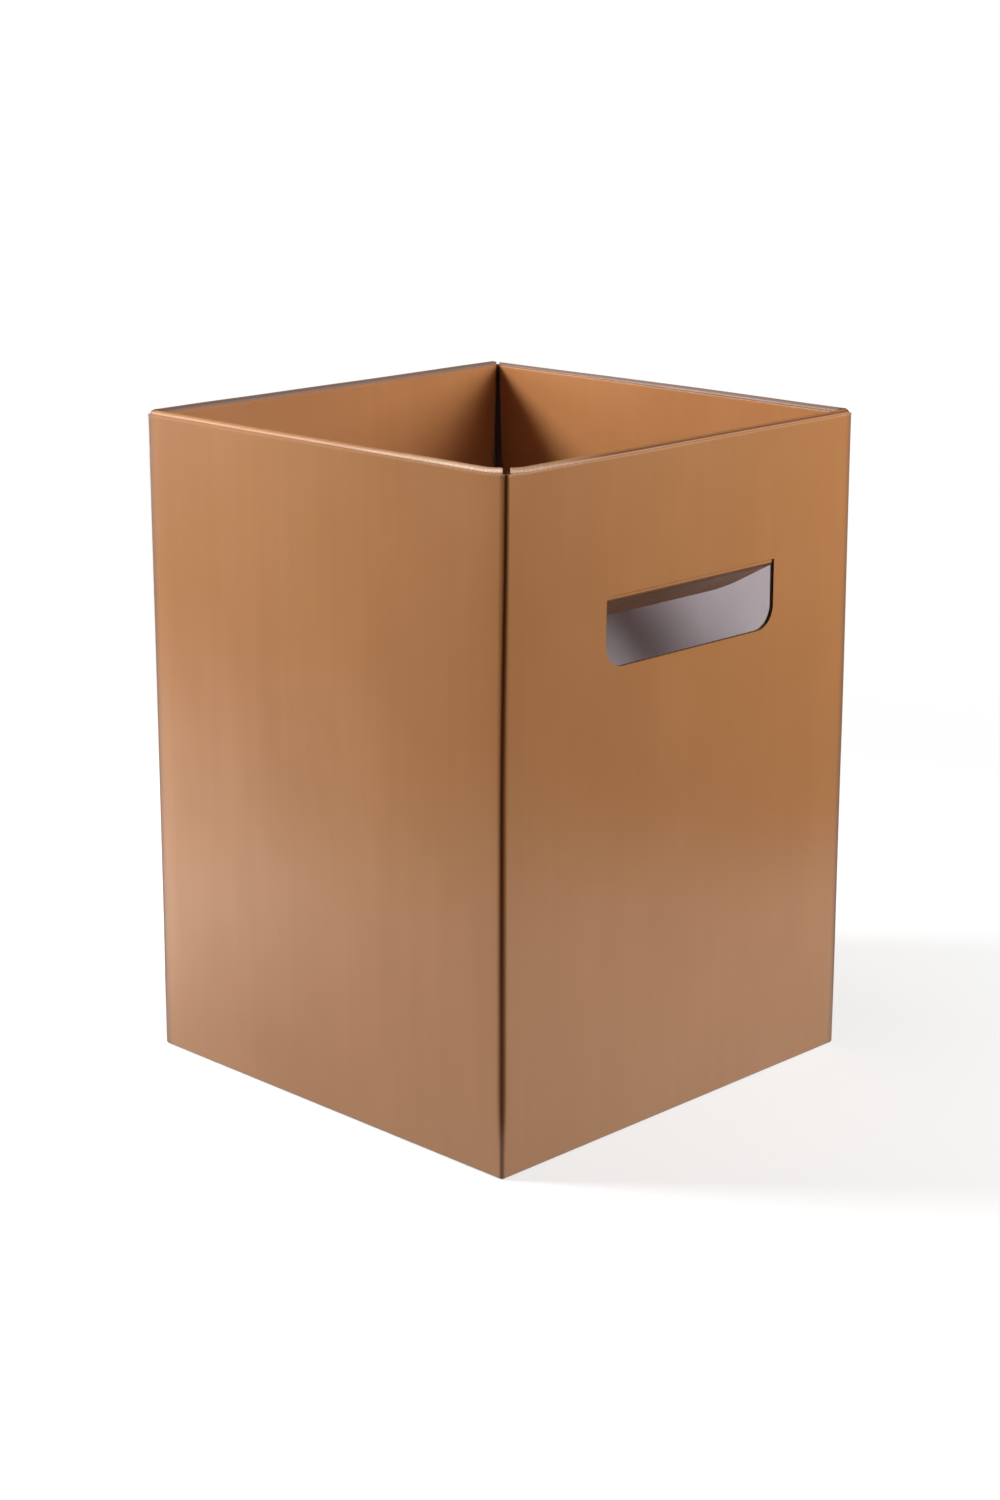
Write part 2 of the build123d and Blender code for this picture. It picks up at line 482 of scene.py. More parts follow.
def painted_rim_light(nodes, axes, height, rim_from_near, on_right, ink):
    """Painted grey reflection on the rim's crown and inner side, painted brown shade on the right roll."""
    # Painted grey reflection on the crown and inner side, and painted brown shade along the right roll
    past_crown = nodes.math("SUBTRACT", nodes.parts(board_map(nodes))["Y"], 1.0)
    rightward = nodes.remap(axes["X"], *FRONT_CROWN, FRONT_CROWN_SHARE, 1.0)
    off_front_wall = nodes.remap(axes["Y"], *OFF_FRONT)
    on_crown = nodes.times(
        nodes.remap(nodes.size(past_crown), *CROWN_REACH, CROWN_SHARE, 0.0),
        nodes.most(rightward, off_front_wall),
        nodes.remap(rim_from_near, *CROWN_FROM_NEAR, NEAR_CROWN_SHARE, 1.0),
        nodes.math("SUBTRACT", 1.0, on_right),
    )
    on_inside = nodes.remap(past_crown, *INNER_REACH, 0.0, INNER_SHARE)
    off_line = nodes.off(height, ROLL_BASE + RIGHT_LINE_RISE)
    on_line = nodes.times(
        nodes.remap(off_line, *RIGHT_LINE_REACH, RIGHT_LINE_SHARE, 0.0),
        nodes.remap(past_crown, -0.1, 0.1, 1.0, 0.0),
    )
    on_right_roll = nodes.times(
        nodes.most(on_line, RIGHT_ROLL_SHARE),
        nodes.remap(rim_from_near, *RIGHT_LINE_START),
        on_right,
    )
    rim_light_share = nodes.most(nodes.most(on_crown, on_inside), on_right_roll)
    at_rim = nodes.remap(height, *RIM_START)
    outside_right = nodes.times(on_right, nodes.remap(past_crown, 0.0, 0.1, 1.0, 0.0))
    rim_light_colour = nodes.blend(outside_right, CROWN_REFLECTION_GREY, RIGHT_ROLL_SHADE)
    return nodes.blend(nodes.times(rim_light_share, at_rim), ink, rim_light_colour)


def print_with_painted_light(nodes, place, axes, ink):
    """The carton's ink with painted shade in its creases, painted light and cracking at its rim, and its
    coat's weight and roughness.
    """
    height = nodes.parts(rise_map(nodes))["X"]
    from_near = from_right_corner(nodes, axes, -1)
    on_right = nodes.remap(axes["X"], *ONTO_RIGHT)
    stretch = nodes.math("ADD", nodes.times(on_right, RIGHT_WALL_EXTRA), 1.0)
    rim_from_near = nodes.times(from_near, stretch)
    # Painted shade in the creases, then cracking with painted highlight, reflection and shade at the rim
    creased, in_crease = crease_shade(nodes, axes, from_near, ink)
    cracked_and_highlit = cracked_and_highlit_rim(nodes, place, axes, height, rim_from_near, creased)
    painted_and_cracked = painted_rim_light(nodes, axes, height, rim_from_near, on_right, cracked_and_highlit)
    coat_weight = nodes.times(
        nodes.remap(height, *COAT_BEND, COAT_WEIGHT, BENT_COAT_WEIGHT),
        nodes.remap(in_crease, *CREASE_COAT_FADE, 1.0, CREASE_COAT_SHARE),
    )
    coat_roughness = nodes.remap(height, *COAT_BEND, COAT_ROUGHNESS, BENT_COAT_ROUGHNESS)
    return painted_and_cracked, coat_weight, coat_roughness


def shaded_flap_print(nodes, axes, fold_height, ink):
    """A hand flap's ink with painted shade, darkest in a line just below its fold, and its coat's weight
    and roughness.
    """
    # Painted shade: the ink darkened in a line just below the fold and over the leaf
    line = nodes.remap(axes["Z"], fold_height - FOLD_LINE_START, fold_height, FOLD_LINE_DARKNESS, 0.0)
    leaf = [fold_height - depth for depth in LEAF_START]
    below = nodes.remap(axes["Z"], *leaf, LEAF_DARKNESS, FOLD_LINE_DARKNESS)
    # The flap's ink with its painted shade
    folded = nodes.blend(nodes.math("MINIMUM", line, below), ink, PAINTED_SHADE_BROWN)
    return folded, FLAP_COAT_WEIGHT, FLAP_COAT_ROUGHNESS


def print_material(name, fold_height=None):
    """Copper pearl ink under a satin coat, with the flutes showing faintly through it.

    With a fold height it is a hand flap's print, with painted shade below its fold, and without one the
    carton's, with painted shade, highlight and reflection.
    """
    material, nodes = new_material(name)
    place = object_place(nodes)
    axes = nodes.parts(place)

    # Ink: slow clouds and faint upright streaks
    clouds = nodes.noise(nodes.stretched(place, CLOUD_FINENESS), 1, 3)
    streaks = nodes.noise(nodes.stretched(place, STREAK_FINENESS), 1, 3)
    cloudy = nodes.blend(nodes.remap(clouds, *NOISE_BAND), COPPER_DEEP, COPPER_PALE)
    ink = nodes.blend(nodes.remap(streaks, *STREAK_BAND, 0.0, STREAK_SHARE), cloudy, COPPER_STREAK)
    if fold_height is None:
        shown, coat_weight, coat_roughness = print_with_painted_light(nodes, place, axes, ink)
    else:
        shown, coat_weight, coat_roughness = shaded_flap_print(nodes, axes, fold_height, ink)

    # Relief: slow waves, upright flutes and paper grain
    waves = nodes.noise(nodes.stretched(place, WAVE_FINENESS), 1, 2)
    flutes = nodes.noise(nodes.stretched(place, FLUTE_FINENESS), 1, 1)
    grain = nodes.noise(place, GRAIN_FINENESS, 2)
    relief = nodes.bump(waves, WAVE_DEPTH, 0.8)
    relief = nodes.bump(flutes, PRINT_FLUTE_DEPTH, 0.8, relief)
    relief = nodes.bump(grain, GRAIN_DEPTH, 0.5, relief)

    shader = nodes.add("ShaderNodeBsdfPrincipled", {
        "Base Color": shown,
        "Roughness": nodes.remap(nodes.noise(place, SHEEN_FINENESS, 3), *NOISE_BAND, *PRINT_ROUGHNESS),
        "Normal": relief,
        "Specular IOR Level": 0.15,
        "Coat Weight": coat_weight,
        "Coat Roughness": coat_roughness,
        "Coat IOR": 1.6,
        "Coat Normal": relief,
    })
    nodes.add("ShaderNodeOutputMaterial", {"Surface": shader.outputs["BSDF"]})
    return material


# The bare liner

LINER_GREY = colour(198, 191, 197)
LINER_SHADE = colour(188, 180, 186)
LINER_CLOUD_FINENESS = 24
LINER_ROUGHNESS = (0.62, 0.8)
FIBRE_FINENESS = (900, 900, 260)
FIBRE_BAND = (0.56, 0.74)
FIBRE_SHARE = 0.4
FIBRE_DEPTH = 0.02 * MM
LINER_FLUTE_DEPTH = 0.03 * MM

# Painted shade in the upright inside corners: how far from the corner it reaches, and how dark it is
CORNER_SHADE = colour(104, 76, 60)
CORNER_SHADE_REACH = (3.5 * MM, 7 * MM)
CORNER_SHADE_SHARE = 0.7


def liner_material():
    """The bare inside liner: pale grey paper with fibres, and painted shade in its upright corners."""
    material, nodes = new_material("bare_liner")
    place = object_place(nodes)
    clouds = nodes.noise(place, LINER_CLOUD_FINENESS, 4)
    fibres = nodes.noise(nodes.stretched(place, FIBRE_FINENESS), 1, 4, 0.65)
    paper = nodes.blend(nodes.remap(clouds, *NOISE_BAND), LINER_SHADE, LINER_GREY)
    fibrous = nodes.blend(nodes.remap(fibres, *FIBRE_BAND, 0.0, FIBRE_SHARE), paper, LINER_SHADE)
    off_corner = nodes.most(*off_edges(nodes, nodes.parts(place)))
    # Painted shade near the upright inside corners
    in_corner = nodes.remap(off_corner, *CORNER_SHADE_REACH, CORNER_SHADE_SHARE, 0.0)
    flutes = nodes.noise(nodes.stretched(place, FLUTE_FINENESS), 1, 1)
    relief = nodes.bump(flutes, LINER_FLUTE_DEPTH, 0.8)
    relief = nodes.bump(fibres, FIBRE_DEPTH, 0.5, relief)
    shader = nodes.add("ShaderNodeBsdfPrincipled", {
        "Base Color": nodes.blend(in_corner, fibrous, CORNER_SHADE),
        "Roughness": nodes.remap(fibres, *NOISE_BAND, *LINER_ROUGHNESS),
        "Normal": relief,
    })
    nodes.add("ShaderNodeOutputMaterial", {"Surface": shader.outputs["BSDF"]})
    return material


# The cut edge. Places across the board are in board thicknesses.

EDGE_PAPER = colour(176, 138, 106)
# The painted shade of the hollow gaps between flute and liners, also mixed into the paper as darker grain
EDGE_GAP_SHADE_AND_GRAIN = colour(104, 66, 46)
EDGE_GRAIN_FINENESS = 1800
EDGE_GRAIN_SHARE = 0.35
EDGE_ROUGHNESS = (0.75, 0.9)
EDGE_DEPTH = 0.25 * MM

# The flute's swing to either side of the middle, half its thickness, and where the liners start
FLUTE_SWING = 0.3
FLUTE_HALF = (0.08, 0.16)
LINER_START = (0.34, 0.4)


def edge_material():
    """A cut edge of the board: two liners with the wavy flute between them, and painted shade in the gaps.
    """
    material, nodes = new_material("cut_edge")
    axes = nodes.parts(board_map(nodes))
    grain = nodes.noise(object_place(nodes), EDGE_GRAIN_FINENESS, 3)
    turn = nodes.math("SINE", nodes.times(axes["X"], 2 * math.pi))
    wave = nodes.math("ADD", nodes.times(turn, FLUTE_SWING), 0.5)
    flute = nodes.remap(nodes.off(axes["Y"], wave), *FLUTE_HALF, 1.0, 0.0)
    liners = nodes.remap(nodes.off(axes["Y"], 0.5), *LINER_START)
    # Where neither flute nor liner is, the gap gets its painted shade
    paper = nodes.most(flute, liners)
    pale = nodes.blend(nodes.remap(grain, *NOISE_BAND, 0.0, EDGE_GRAIN_SHARE), EDGE_PAPER, EDGE_GAP_SHADE_AND_GRAIN)
    shader = nodes.add("ShaderNodeBsdfPrincipled", {
        "Base Color": nodes.blend(paper, EDGE_GAP_SHADE_AND_GRAIN, pale),
        "Roughness": nodes.remap(grain, *NOISE_BAND, *EDGE_ROUGHNESS),
        "Normal": nodes.bump(paper, EDGE_DEPTH, 0.7),
    })
    nodes.add("ShaderNodeOutputMaterial", {"Surface": shader.outputs["BSDF"]})
    return material


PRINT, LINER, EDGE = range(3)
finishes = [print_material("copper_print"), liner_material(), edge_material()]
flap_finishes = [print_material("copper_print_flap", FOLD_LINE)] + finishes[1:]


# Slicing a solid's mesh

# How finely the flat faces are sliced, with closer slices beside the creases and the rim
WALL_STEP = 6 * MM
FLAP_STEP = 4 * MM
CREASE_SLICES = (2.2 * MM, 3.4 * MM, 5 * MM, 7.5 * MM, 10.5 * MM)
SMOOTH_ANGLE = math.radians(38)

# Vertices this close are one, faces this level are one, and a slice this close to a vertex uses it
MERGE_REACH = 0.002 * MM
FLAT_ANGLE = math.radians(0.5)
SLICE_REACH = 0.05 * MM


def sliced_mesh(source, step, edge_slices=()):
    """A copy of a CAD node's mesh with its flat faces joined up, then cut by planes a step apart.

    edge_slices are more planes, at these distances from each end of the mesh.
    """
    mesh = bmesh.new()
    mesh.from_mesh(source.data)
    bmesh.ops.remove_doubles(mesh, verts=mesh.verts, dist=MERGE_REACH)
    bmesh.ops.dissolve_limit(
        mesh, angle_limit=FLAT_ANGLE, verts=mesh.verts, edges=mesh.edges, use_dissolve_boundaries=False
    )
    for axis in range(3):
        places = [vertex.co[axis] for vertex in mesh.verts]
        low, high = min(places), max(places)
        count = max(1, round((high - low) / step))
        inset = max(edge_slices, default=0) + step / 3
        stops = [low + (high - low) * index / count for index in range(1, count)]
        stops = [stop for stop in stops if low + inset < stop < high - inset]
        for distance in edge_slices:
            stops += [low + distance, high - distance]
        normal = Vector([float(i == axis) for i in range(3)])
        for stop in stops:
            geometry = mesh.verts[:] + mesh.edges[:] + mesh.faces[:]
            bmesh.ops.bisect_plane(
                mesh, geom=geometry, dist=SLICE_REACH, plane_co=normal * stop, plane_no=normal
            )
    mesh.normal_update()
    return mesh


def finished_object(mesh, name, finishes):
    """An object with the three finishes, smooth except at its real edges."""
    data = bpy.data.meshes.new(name)
    mesh.to_mesh(data)
    mesh.free()
    for material in finishes:
        data.materials.append(material)
    data.shade_smooth()
    piece = bpy.data.objects.new(name, data)
    bpy.context.scene.collection.objects.link(piece)
    with bpy.context.temp_override(object=piece, selected_editable_objects=[piece]):
        bpy.ops.object.shade_smooth_by_angle(angle=SMOOTH_ANGLE)
    weighted = piece.modifiers.new("even_shading", "WEIGHTED_NORMAL")
    weighted.keep_sharp = True
    return piece


# The carton's faces

def nearest_wall(point):
    """The outward direction of the wall nearest to a point, and how deep the point lies in it."""
    depths = (
        (HALF_DEPTH + point.y, FRONT),
        (HALF_DEPTH - point.y, BACK),
        (HALF_WIDTH - point.x, RIGHT),
        (HALF_WIDTH + point.x, LEFT),
    )
    depth, outward = min(depths, key=lambda pair: pair[0])
    return outward, depth


def in_base(point, depth):
    """Whether a point this deep inside the nearest wall is in one of the base's flaps."""
    return point.z < FLOOR_TOP + 0.1 * MM and depth > WALL_DEPTH


def carton_finish(centre, normal):
    """The finish of one face of the carton, from where it lies and which way it looks."""
    outward, depth = nearest_wall(centre)
    facing = normal.dot(outward)
    if in_base(centre, depth):
        if abs(normal.z) < 0.5:
            return EDGE
        return LINER if normal.z > 0 else PRINT
    if facing > 0.3 or centre.z < BOARD and normal.z < -0.3:
        return PRINT
    if centre.z > ROLL_BASE - 0.5 * MM:
        return EDGE if abs(normal.dot(UP.cross(outward))) > 0.5 else PRINT
    if facing < -0.5:
        return PRINT if depth > 1.5 * BOARD and centre.z > LINING_FOOT else LINER
    return EDGE


def carton_board_place(point):
    """Where a point lies in the board: along it in flutes, and across it from 0 to 1."""
    outward, depth = nearest_wall(point)
    if in_base(point, depth):
        from_side = HALF_WIDTH - abs(point.x) < HALF_DEPTH - abs(point.y)
        along = point.y if from_side else point.x
        across = point.z / BOARD
    else:
        along = point.dot(UP.cross(outward))
        across = depth / BOARD
    return along / FLUTE_PITCH, across


# Easing the carton out of true

# How far each upright corner sways to the camera's right, by height
SWAY_RIGHTWARD = Vector((0.713, 0.701, 0))
CORNER_SWAY = {
    (1, -1): ((0, 0.05 * MM), (130 * MM, -0.2 * MM), (245 * MM, 0.95 * MM)),
    (-1, -1): ((0, -0.15 * MM), (60 * MM, 0.2 * MM), (150 * MM, 0.37 * MM), (245 * MM, 0.28 * MM)),
    (1, 1): ((0, 0.5 * MM), (120 * MM, 0.15 * MM), (245 * MM, -0.5 * MM)),
    (-1, 1): ((0, 0.0), (245 * MM, 0.1 * MM)),
}

# How far each wall's middle bows outward
WALL_BOW = ((FRONT, 0.5 * MM), (BACK, 0.4 * MM), (RIGHT, 0.35 * MM), (LEFT, 0.35 * MM))
BOW_HEIGHT = 95 * MM

# How far each wall stands proud of its creases, how far from a crease it gets there, the height by
# which it does, and how much of it the lining takes away
SHOULDER_RISE = 0.35 * MM
SHOULDER_REACH = 5 * MM
SHOULDER_START = 25 * MM
SHOULDER_LINED = 0.5

# How much wider than true the creases stand
CREASE_SPREAD = 0.4 * MM

# The walls' slow waves: how deep, how fine, and the height at which they are in full
WAVINESS = 0.22 * MM
WAVE_SCALE = 17.0
WAVE_START = 12 * MM

# How far the rim sinks at each corner, its ripple, its upturned near corner and its flatter back roll
RIM_DROP = {(1, -1): 0.0, (-1, -1): 0.75 * MM, (-1, 1): 0.85 * MM, (1, 1): 0.1 * MM}
RIM_WAVE = 0.15 * MM
RIM_WAVE_SCALE = 22
UPTURN = 0.8 * MM
UPTURN_REACH = 11 * MM
UPTURN_START = ROLL_BASE - 4 * MM
BACK_ROLL_DROP = 0.55 * MM
BACK_ROLL_REACH = 110 * MM

# The outside score at the rim: its depth and half its height, with room to spare, and how much of
# it has closed up
SCORE_DEPTH = 0.25 * MM
SCORE_HALF = 0.5 * MM
SCORE_FILL = 0.75

# How far each roll is pressed flat from below
ROLL_PRESS = 0.9 * MM
PRESS_REACH = 30 * MM

# How far the hem ends beside the back left corner spread into its notch
NOTCH_SPREAD = 0.95 * MM
NOTCH_REACH = 14 * MM


def corner_share(point, side_x, side_y):
    """How much a point shares in what one upright corner does: 1 at it, 0 at the other three."""
    across = (1 + side_x * point.x / HALF_WIDTH) / 2
    ahead = (1 + side_y * point.y / HALF_DEPTH) / 2
    return across * ahead


def wall_stray(point, outward, bow):
    """How far outward a point of one wall strays: the wall's bow, its waves and its shoulders."""
    half = HALF_WIDTH if outward.x else HALF_DEPTH
    if half - point.dot(outward) > HEM_DEPTH or point.z < FLOOR_TOP:
        return 0.0
    along = point.dot(UP.cross(outward)) / half
    middle = math.cos(along * math.pi / 2)
    rise = math.sin(math.pi * min(1.0, point.z / (2 * BOW_HEIGHT)))
    flat = smooth_step(abs(along), 1.0, 0.85) * smooth_step(point.z, FLOOR_TOP, WAVE_START)
    wall_seed = outward.x + 2.3 * outward.y
    wave = noise.noise(Vector((along * half * WAVE_SCALE, point.z * WAVE_SCALE, wall_seed)))
    from_crease = half - abs(along * half)
    shoulder = SHOULDER_RISE * (1 - math.exp(-from_crease / SHOULDER_REACH))
    shoulder *= smooth_step(point.z, 0, SHOULDER_START)
    shoulder *= 1 - SHOULDER_LINED * smooth_step(point.z, LINING_FOOT, ROLL_BASE)
    return bow * middle * rise + WAVINESS * wave * flat + shoulder


def rim_rise(point):
    """How far the rim and its lining stray upward at a point."""
    drop = sum(amount * corner_share(point, *corner) for corner, amount in RIM_DROP.items())
    ripple = noise.noise(Vector((point.x * RIM_WAVE_SCALE, point.y * RIM_WAVE_SCALE, 5.0)))
    rise = (RIM_WAVE * ripple - drop) * smooth_step(point.z, LINING_FOOT, ROLL_BASE)
    if point.z > ROLL_BASE:
        rise += ROLL_PRESS * (HEIGHT - point.z) / ROLL_RISE
    else:
        rise += ROLL_PRESS * smooth_step(point.z, ROLL_BASE - PRESS_REACH, ROLL_BASE)
    from_near = Vector((HALF_WIDTH - point.x, HALF_DEPTH + point.y)).length
    up_rim = smooth_step(point.z, UPTURN_START, HEIGHT)
    rise += UPTURN * smooth_step(from_near, UPTURN_REACH, 0) * up_rim
    if HALF_DEPTH - point.y < HEM_DEPTH:
        from_left = HALF_WIDTH + point.x
        up_roll = smooth_step(point.z, ROLL_BASE, HEIGHT)
        rise -= BACK_ROLL_DROP * smooth_step(from_left, BACK_ROLL_REACH, 0) * up_roll
    return rise


def notch_shift(point):
    """How far a point of a hem end beside the back left corner has spread into the notch there."""
    from_left, from_back = HALF_WIDTH + point.x, HALF_DEPTH - point.y
    in_lining = point.z > LINING_FOOT - MM and min(from_left, from_back) > WALL_DEPTH
    if in_lining or point.z > ROLL_BASE:
        if from_back < HEM_DEPTH:
            return LEFT * (NOTCH_SPREAD * smooth_step(from_left, NOTCH_REACH, HEM_DEPTH))
        if from_left < HEM_DEPTH:
            return BACK * (NOTCH_SPREAD * smooth_step(from_back, NOTCH_REACH, HEM_DEPTH))
    return Vector((0, 0, 0))


def eased_place(point):
    """A point of the carton moved as folded board strays from true: bowed, swayed and wavy."""
    moved = point.copy()
    for (side_x, side_y), stops in CORNER_SWAY.items():
        moved += SWAY_RIGHTWARD * (corner_share(point, side_x, side_y) * in_steps(point.z, stops))
    moved.x += CREASE_SPREAD * point.x / HALF_WIDTH
    moved.y += CREASE_SPREAD * point.y / HALF_DEPTH
    for outward, bow in WALL_BOW:
        moved += outward * wall_stray(point, outward, bow)
    outward, depth = nearest_wall(point)
    if depth < SCORE_DEPTH and abs(point.z - ROLL_BASE) < SCORE_HALF:
        moved += outward * (SCORE_FILL * depth)
    moved.z += rim_rise(point)
    return moved + notch_shift(point)


def add_carton():
    """The carton's own copy, finished face by face and eased out of true."""
    mesh = sliced_mesh(frame["nodes"]["carton"], WALL_STEP, CREASE_SLICES)
    board_layer = mesh.loops.layers.uv.new("board")
    rise_layer = mesh.loops.layers.uv.new("rise")
    for face in mesh.faces:
        face.material_index = carton_finish(face.calc_center_median(), face.normal)
        for loop in face.loops:
            loop[board_layer].uv = carton_board_place(loop.vert.co)
            loop[rise_layer].uv = (loop.vert.co.z, 0)
    for vertex in mesh.verts:
        vertex.co = eased_place(vertex.co)
    piece = finished_object(mesh, "printed_carton", finishes)
    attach(piece, "carton")
    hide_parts("carton")


# The hand flaps

FLAP_ANGLE = math.radians(61)
SKIN_LIFT = 0.03 * MM
SKIN_THICKNESS = 0.15 * MM
SKIN_OVER_WALL = 0.5 * MM
SKIN_OVER_FLAP = 1.2 * MM
SKIN_TURNS = 14
SKIN_COLUMNS = 24


def flap_axes(outward):
    """The flap's own directions at rest: the way its outer face looks, and up along its leaf."""
    facing = outward * math.cos(FLAP_ANGLE) - UP * math.sin(FLAP_ANGLE)
    rising = UP * math.cos(FLAP_ANGLE) + outward * math.sin(FLAP_ANGLE)
    return facing, rising


def add_flap(node, outward, pivot):
    """One hand flap's own copy: print on the face that was outside, liner on the other."""
    mesh = sliced_mesh(frame["nodes"][node], FLAP_STEP)
    board_layer = mesh.loops.layers.uv.new("board")
    facing, rising = flap_axes(outward)
    along = UP.cross(outward)
    for face in mesh.faces:
        look = face.normal.dot(facing)
        centre = face.calc_center_median() - pivot
        on_bead = centre.dot(rising) > 0.05 * MM
        if abs(face.normal.dot(along)) > 0.7:
            face.material_index = EDGE
        elif on_bead or look > 0.7:
            face.material_index = PRINT
        else:
            face.material_index = LINER if look < -0.7 else EDGE
        for loop in face.loops:
            place = loop.vert.co - pivot
            loop[board_layer].uv = (place.dot(along) / FLUTE_PITCH, place.dot(facing) / BOARD)
    piece = finished_object(mesh, "printed_" + node, flap_finishes)
    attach(piece, node.replace("hand_", ""))
    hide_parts(node)


def fold_profile(outward, facing, rising, radius):
    """The fold skin's section about the pivot, from the wall down to the flap: its places and normals."""
    places = [outward * radius + UP * SKIN_OVER_WALL, outward * radius + UP * SKIN_OVER_WALL / 2]
    for index in range(SKIN_TURNS + 1):
        turn = FLAP_ANGLE * index / SKIN_TURNS
        places.append((outward * math.cos(turn) - UP * math.sin(turn)) * radius)
    places += [facing * radius - rising * SKIN_OVER_FLAP / 2, facing * radius - rising * SKIN_OVER_FLAP]
    round_normals = [place.normalized() for place in places[2:-2]]
    return places, [outward] * 2 + round_normals + [facing] * 2


def add_fold_skin(node, outward, pivot):
    """The outer liner where it runs unbroken from the wall round the fold and on to the flap."""
    low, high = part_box(node)
    along = UP.cross(outward)
    half = (high - low).dot(Vector((abs(along.x), abs(along.y), 0))) / 2
    facing, rising = flap_axes(outward)
    radius = BOARD + SKIN_LIFT
    mesh = bmesh.new()
    rows = []
    for place, normal in zip(*fold_profile(outward, facing, rising, radius)):
        for inset in (0.0, SKIN_THICKNESS):
            middle = pivot + place - normal * inset
            rows.append([
                mesh.verts.new(middle + along * half * (2 * column / SKIN_COLUMNS - 1))
                for column in range(SKIN_COLUMNS + 1)
            ])

    # Both faces, then the upper and lower edge, then the two ends
    outer, inner = rows[0::2], rows[1::2]
    strips = [pair for layer in (outer, inner) for pair in zip(layer, layer[1:])]
    strips += [(outer[0], inner[0]), (outer[-1], inner[-1])]
    for upper, lower in strips:
        for column in range(SKIN_COLUMNS):
            mesh.faces.new((upper[column], upper[column + 1], lower[column + 1], lower[column]))
    for column in (0, SKIN_COLUMNS):
        for index in range(len(outer) - 1):
            corners = (outer[index], outer[index + 1], inner[index + 1], inner[index])
            mesh.faces.new([row[column] for row in corners])
    bmesh.ops.recalc_face_normals(mesh, faces=mesh.faces)
    mesh.loops.layers.uv.new("board")
    piece = finished_object(mesh, "fold_skin_" + node.replace("hand_flap_", ""), flap_finishes)
    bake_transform(piece)


# Studio

# The table top that the print's gloss shows: half its depth and half its width as the lens sees it
TABLE_DEPTH = 0.33
TABLE_WIDTH = 0.37
TABLE_FADE = 0.09
TABLE_GLOW = 0.95

# The brighter pool on it at the left: its middle, how far it is squeezed in depth, its reach and its glow
POOL_AHEAD = -0.12
POOL_ASIDE = -0.42
POOL_SQUEEZE = 2.0
POOL_REACH = (0.12, 0.5)
POOL_GLOW = 1.5

# The room's even light, beside the softboxes
ROOM_LIGHT = 0.01

# The floor as the lens sees it: lit paper lifted to white, except under the box, and plain white
# away from the box
FLOOR_HALF = 6.0
PAPER_TONE = 0.5
FLOOR_LIFT = 0.6
LIFT_START = (HALF_WIDTH - 1.4 * MM, HALF_WIDTH - 0.4 * MM)
SHADOW_FADE = (0.3, 0.6)

# The floor by its scattered light, and the dark room beyond the table top
DIM_TONE = 0.1
DARK_TONE = 0.03


def on_table(nodes, axes):
    """1 on the table top that the gloss shows, 0 beyond it."""
    shares = []
    for axis, half in (("X", TABLE_DEPTH), ("Y", TABLE_WIDTH)):
        off_middle = nodes.size(axes[axis])
        shares.append(nodes.remap(off_middle, half - TABLE_FADE, half + TABLE_FADE, 1.0, 0.0))
    return nodes.times(*shares)


def glossy_table(nodes, axes):
    """The floor in the print's gloss: a bright table top with a pool of light and a dark room beyond."""
    plain = nodes.mixed(on_table(nodes, axes), nodes.matt(DARK_TONE), nodes.glow(TABLE_GLOW))
    pool_ahead = nodes.times(nodes.math("SUBTRACT", axes["X"], POOL_AHEAD), POOL_SQUEEZE)
    pool_aside = nodes.math("SUBTRACT", axes["Y"], POOL_ASIDE)
    off_pool = nodes.length(pool_ahead, pool_aside)
    return nodes.added(plain, nodes.glow(nodes.remap(off_pool, *POOL_REACH, POOL_GLOW, 0.0)))


def seen_paper(nodes, place, axes):
    """The floor as the lens sees it: white paper that keeps the box's soft shadow near the box."""
    box_axes = nodes.parts(place)
    off_middle = nodes.most(nodes.size(box_axes["X"]), nodes.size(box_axes["Y"]))
    lift = nodes.glow(nodes.remap(off_middle, *LIFT_START, 0.0, FLOOR_LIFT))
    near_box = nodes.remap(nodes.length(axes["X"], axes["Y"]), *SHADOW_FADE, 1.0, 0.0)
    return nodes.mixed(near_box, nodes.glow(1.0), nodes.added(nodes.matt(PAPER_TONE), lift))


def floor_material():
    """A pale floor: paper to the lens, a table top in the print's gloss, and dim by its scattered light."""
    material, nodes = new_material("pale_floor")
    place = object_place(nodes)
    to_camera = {"Vector": place, "Rotation": (0, 0, -CAMERA_AZIMUTH)}
    axes = nodes.parts(nodes.add("ShaderNodeMapping", to_camera).outputs["Vector"])
    rays = nodes.add("ShaderNodeLightPath").outputs
    by_lens = nodes.mixed(rays["Is Camera Ray"], nodes.matt(DIM_TONE), seen_paper(nodes, place, axes))
    final = nodes.mixed(rays["Is Glossy Ray"], by_lens, glossy_table(nodes, axes))
    nodes.add("ShaderNodeOutputMaterial", {"Surface": final})
    return material


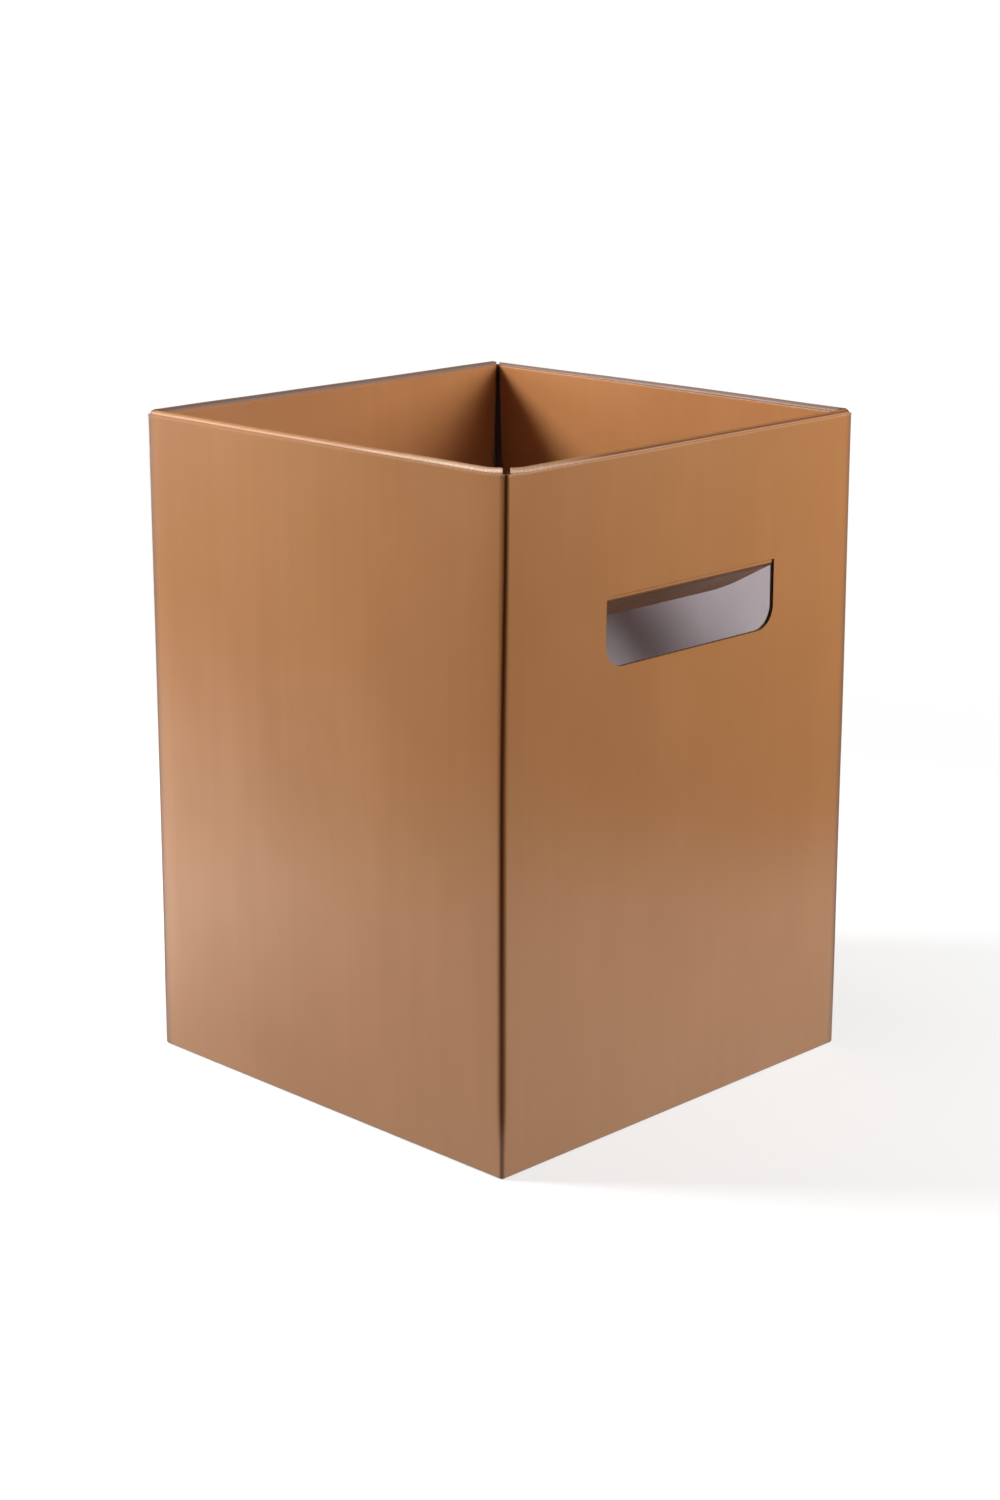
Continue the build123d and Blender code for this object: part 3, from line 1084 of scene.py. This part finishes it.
def add_floor():
    """The floor that the box stands on."""
    data = bpy.data.meshes.new("floor")
    mesh = bmesh.new()
    bmesh.ops.create_grid(mesh, x_segments=8, y_segments=8, size=FLOOR_HALF)
    mesh.to_mesh(data)
    mesh.free()
    data.materials.append(floor_material())
    floor = bpy.data.objects.new("floor", data)
    bpy.context.scene.collection.objects.link(floor)


def add_world():
    """White behind the object, and a dim room for its light."""
    world = bpy.data.worlds.new("studio")
    world.use_nodes = True
    nodes = Nodes(world.node_tree)
    rays = nodes.add("ShaderNodeLightPath").outputs
    white = nodes.add("ShaderNodeBackground", {"Color": (1, 1, 1, 1), "Strength": 1.0}).outputs[0]
    room = nodes.add("ShaderNodeBackground", {"Color": (1, 1, 1, 1), "Strength": ROOM_LIGHT}).outputs[0]
    nodes.add("ShaderNodeOutputWorld", {"Surface": nodes.mixed(rays["Is Camera Ray"], room, white)})
    bpy.context.scene.world = world


# Where the softboxes stand about a point in the box: compass angle from +X, angle above the
# floor, distance, side and power in watts
SOFTBOX_TARGET = Vector((0, 0, 0.12))
SOFTBOXES = (
    ("key_left", -139.5, 35, 1.3, 0.36, 17.8),
    ("side_left", -162, 14, 0.58, 0.32, 2.2),
    ("fill_right", 32, 25, 0.8, 0.34, 4.95),
)


def add_softbox(name, compass, rise, distance, side, power):
    """A square area lamp aimed at the box."""
    data = bpy.data.lights.new(name, "AREA")
    data.shape = "SQUARE"
    data.size = side
    data.energy = power
    lamp = bpy.data.objects.new(name, data)
    lamp.location = SOFTBOX_TARGET + direction(math.radians(compass), math.radians(rise)) * distance
    lamp.rotation_euler = aimed(lamp.location, SOFTBOX_TARGET)
    bpy.context.scene.collection.objects.link(lamp)


def add_studio():
    """The floor, the room and the softboxes."""
    add_floor()
    add_world()
    for softbox in SOFTBOXES:
        add_softbox(*softbox)


def add_object():
    """The carton, and for each joint its hand flap and the skin over its fold."""
    add_carton()
    for joint in frame["joints"]:
        body = joint["child"]
        pivot = Vector(joint["pos_m"])
        outward = RIGHT if pivot.x > 0 else LEFT
        add_flap("hand_" + body, outward, pivot)
        add_fold_skin("hand_" + body, outward, pivot)


add_camera()
add_studio()
add_object()
bpy.context.scene.view_settings.view_transform = "Standard"
